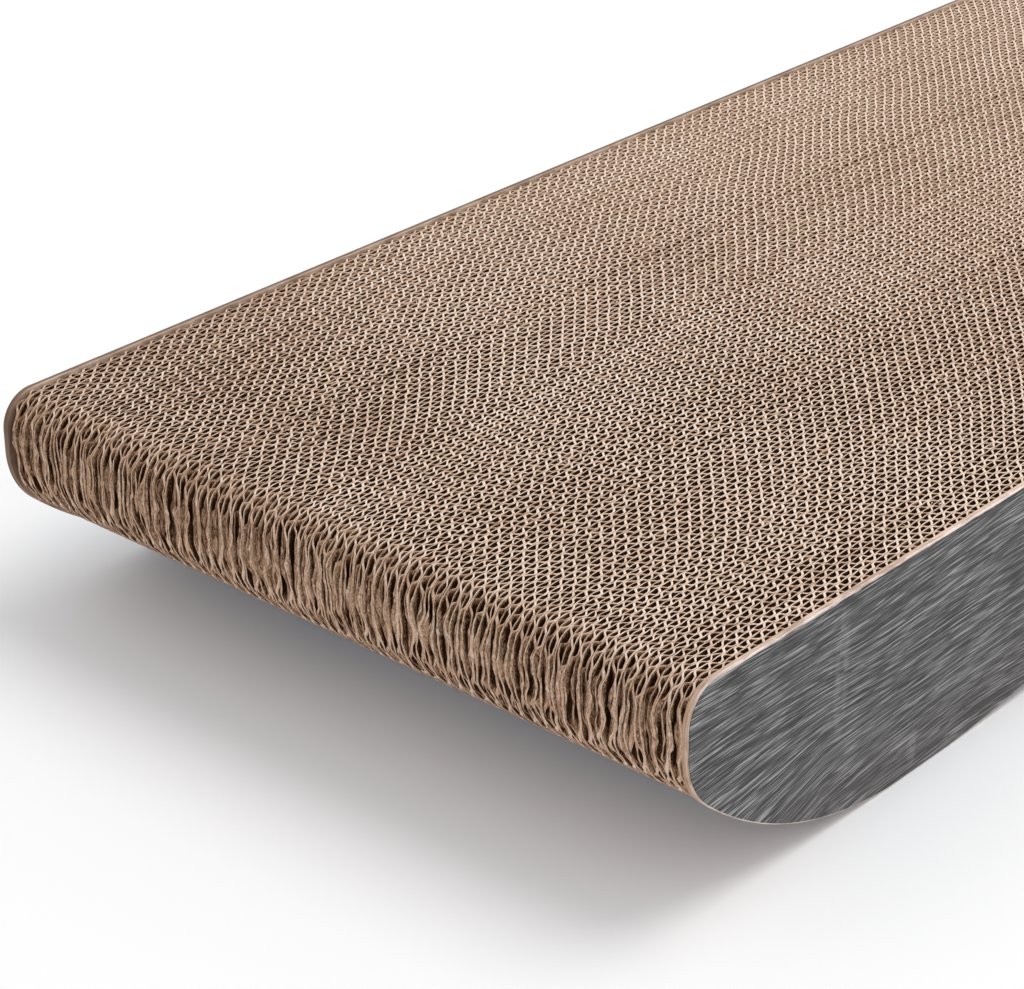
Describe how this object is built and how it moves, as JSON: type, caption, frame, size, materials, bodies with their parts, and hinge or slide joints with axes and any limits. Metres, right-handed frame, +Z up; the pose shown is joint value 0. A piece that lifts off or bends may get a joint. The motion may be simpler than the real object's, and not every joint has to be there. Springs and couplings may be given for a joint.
{
  "type": "cardboard cat scratcher",
  "caption": "Long flat-topped cat scratching board: upright corrugated cardboard on edge, rounded noses, arched underside, and wood-grain printed boards on its long sides.",
  "frame": {"origin": "middle of the footprint, on the floor", "axes": "+X along the board from nose to nose, +Y across the boards, +Z up; the pictured nose is at -X and the pictured side face at -Y"},
  "size_m": [0.86, 0.31, 0.084],
  "materials": {
    "kraft_core": "matte",
    "side_board": "matte",
    "printed_paper": "satin"
  },
  "bodies": {
    "root": {"near_facing_paper": "printed_paper", "near_side_board": "side_board", "core_board_01": "kraft_core", "core_board_02": "kraft_core", "core_board_03": "kraft_core", "core_board_04": "kraft_core", "core_board_05": "kraft_core", "core_board_06": "kraft_core", "core_board_07": "kraft_core", "core_board_08": "kraft_core", "core_board_09": "kraft_core", "core_board_10": "kraft_core", "core_board_11": "kraft_core", "core_board_12": "kraft_core", "core_board_13": "kraft_core", "core_board_14": "kraft_core", "core_board_15": "kraft_core", "core_board_16": "kraft_core", "core_board_17": "kraft_core", "core_board_18": "kraft_core", "core_board_19": "kraft_core", "core_board_20": "kraft_core", "core_board_21": "kraft_core", "core_board_22": "kraft_core", "core_board_23": "kraft_core", "core_board_24": "kraft_core", "core_board_25": "kraft_core", "core_board_26": "kraft_core", "core_board_27": "kraft_core", "core_board_28": "kraft_core", "core_board_29": "kraft_core", "core_board_30": "kraft_core", "core_board_31": "kraft_core", "core_board_32": "kraft_core", "core_board_33": "kraft_core", "core_board_34": "kraft_core", "core_board_35": "kraft_core", "core_board_36": "kraft_core", "core_board_37": "kraft_core", "core_board_38": "kraft_core", "core_board_39": "kraft_core", "far_side_board": "side_board", "far_facing_paper": "printed_paper"}
  },
  "joints": []
}
